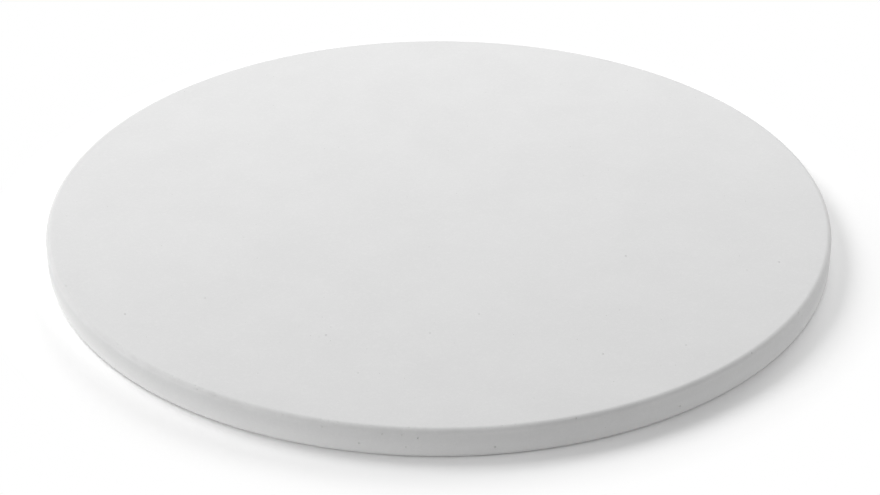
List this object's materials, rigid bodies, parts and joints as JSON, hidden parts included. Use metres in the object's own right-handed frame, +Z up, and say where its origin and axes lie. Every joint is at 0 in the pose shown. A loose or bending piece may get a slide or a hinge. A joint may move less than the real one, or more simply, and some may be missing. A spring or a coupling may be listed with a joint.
{
  "type": "pizza stone",
  "caption": "Round flat baking slab of unglazed fired cordierite, with a plain baking face and softly rounded rims.",
  "frame": {"origin": "centre of the flat resting face", "axes": "+Z up along the axis of the disc, out of the baking face; the disc is round, so +X and +Y are any two square directions across it"},
  "size_m": [0.3799, 0.38, 0.0145],
  "materials": {
    "fired_cordierite": "matt, unglazed, fine pressed grain with sparse small pits"
  },
  "bodies": {
    "root": {"baking_stone": "fired_cordierite"}
  },
  "joints": []
}
